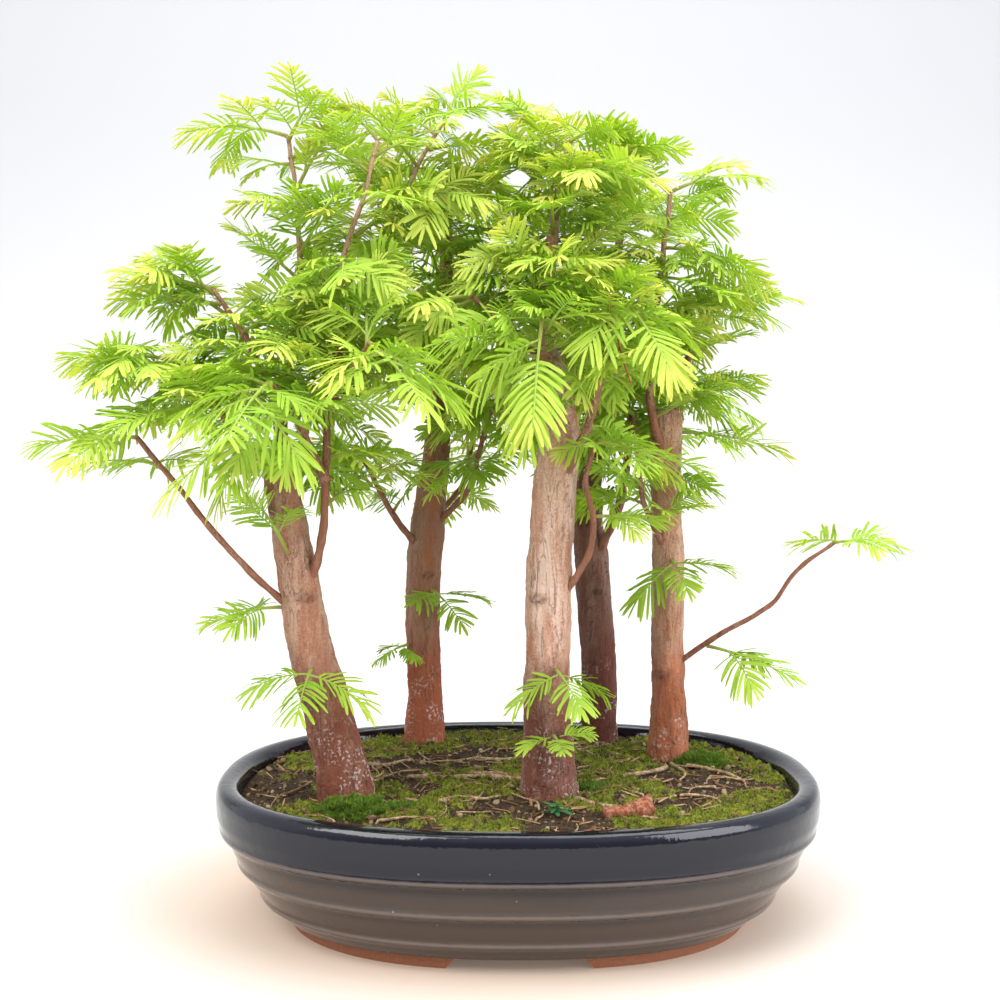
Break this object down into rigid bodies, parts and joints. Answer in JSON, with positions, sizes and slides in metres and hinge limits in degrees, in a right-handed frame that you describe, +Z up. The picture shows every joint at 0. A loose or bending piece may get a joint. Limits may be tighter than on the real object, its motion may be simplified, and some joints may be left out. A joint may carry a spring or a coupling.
{
  "type": "bonsai forest in a tray",
  "caption": "Dawn redwood bonsai forest: upright trunks with feathery flat sprays of needles, growing in mossy soil in an oval glazed ceramic tray on feet.",
  "frame": {"origin": "under the middle of the bounding box, at the height of the soles of the tray's feet", "axes": "+Z up, +X along the tray's long side to the right as seen from the front, +Y to the back"},
  "size_m": [0.3494, 0.27, 0.3508],
  "materials": {
    "drain_screen_left": "matte",
    "drain_screen_right": "matte",
    "moss_cushion_1": "matte",
    "moss_cushion_2": "matte",
    "root_stub": "matte",
    "soil": "matte",
    "spray_back_centre_01": "satin",
    "spray_back_centre_02": "satin",
    "spray_back_centre_03": "satin",
    "spray_back_centre_04": "satin",
    "spray_back_centre_05": "satin",
    "spray_back_left_01": "satin",
    "spray_back_left_02": "satin",
    "spray_back_left_03": "satin",
    "spray_back_left_04": "satin",
    "spray_back_left_05": "satin",
    "spray_back_left_06": "satin",
    "spray_back_left_07": "satin",
    "spray_back_left_08": "satin",
    "spray_back_left_09": "satin",
    "spray_front_01": "satin",
    "spray_front_02": "satin",
    "spray_front_03": "satin",
    "spray_front_04": "satin",
    "spray_front_05": "satin",
    "spray_front_06": "satin",
    "spray_front_07": "satin",
    "spray_front_08": "satin",
    "spray_front_09": "satin",
    "spray_left_01": "satin",
    "spray_left_02": "satin",
    "spray_left_03": "satin",
    "spray_left_04": "satin",
    "spray_left_05": "satin",
    "spray_left_06": "satin",
    "spray_left_07": "satin",
    "spray_left_08": "satin",
    "spray_left_09": "satin",
    "spray_left_10": "satin",
    "spray_left_11": "satin",
    "spray_left_12": "satin",
    "spray_left_13": "satin",
    "spray_left_14": "satin",
    "spray_left_15": "satin",
    "spray_left_16": "satin",
    "spray_left_17": "satin",
    "spray_left_18": "satin",
    "spray_right_01": "satin",
    "spray_right_02": "satin",
    "spray_right_03": "satin",
    "spray_right_04": "satin",
    "spray_right_05": "satin",
    "spray_right_06": "satin",
    "spray_right_07": "satin",
    "tray": "gloss",
    "tree_back_centre": "matte",
    "tree_back_left": "matte",
    "tree_front": "matte",
    "tree_left": "matte",
    "tree_right": "matte"
  },
  "bodies": {
    "root": {"drain_screen_left": "drain_screen_left", "drain_screen_right": "drain_screen_right", "moss_cushion_1": "moss_cushion_1", "moss_cushion_2": "moss_cushion_2", "root_stub": "root_stub", "soil": "soil", "spray_back_centre_01": "spray_back_centre_01", "spray_back_centre_02": "spray_back_centre_02", "spray_back_centre_03": "spray_back_centre_03", "spray_back_centre_04": "spray_back_centre_04", "spray_back_centre_05": "spray_back_centre_05", "spray_back_left_01": "spray_back_left_01", "spray_back_left_02": "spray_back_left_02", "spray_back_left_03": "spray_back_left_03", "spray_back_left_04": "spray_back_left_04", "spray_back_left_05": "spray_back_left_05", "spray_back_left_06": "spray_back_left_06", "spray_back_left_07": "spray_back_left_07", "spray_back_left_08": "spray_back_left_08", "spray_back_left_09": "spray_back_left_09", "spray_front_01": "spray_front_01", "spray_front_02": "spray_front_02", "spray_front_03": "spray_front_03", "spray_front_04": "spray_front_04", "spray_front_05": "spray_front_05", "spray_front_06": "spray_front_06", "spray_front_07": "spray_front_07", "spray_front_08": "spray_front_08", "spray_front_09": "spray_front_09", "spray_left_01": "spray_left_01", "spray_left_02": "spray_left_02", "spray_left_03": "spray_left_03", "spray_left_04": "spray_left_04", "spray_left_05": "spray_left_05", "spray_left_06": "spray_left_06", "spray_left_07": "spray_left_07", "spray_left_08": "spray_left_08", "spray_left_09": "spray_left_09", "spray_left_10": "spray_left_10", "spray_left_11": "spray_left_11", "spray_left_12": "spray_left_12", "spray_left_13": "spray_left_13", "spray_left_14": "spray_left_14", "spray_left_15": "spray_left_15", "spray_left_16": "spray_left_16", "spray_left_17": "spray_left_17", "spray_left_18": "spray_left_18", "spray_right_01": "spray_right_01", "spray_right_02": "spray_right_02", "spray_right_03": "spray_right_03", "spray_right_04": "spray_right_04", "spray_right_05": "spray_right_05", "spray_right_06": "spray_right_06", "spray_right_07": "spray_right_07", "tray": "tray", "tree_back_centre": "tree_back_centre", "tree_back_left": "tree_back_left", "tree_front": "tree_front", "tree_left": "tree_left", "tree_right": "tree_right"}
  },
  "joints": []
}
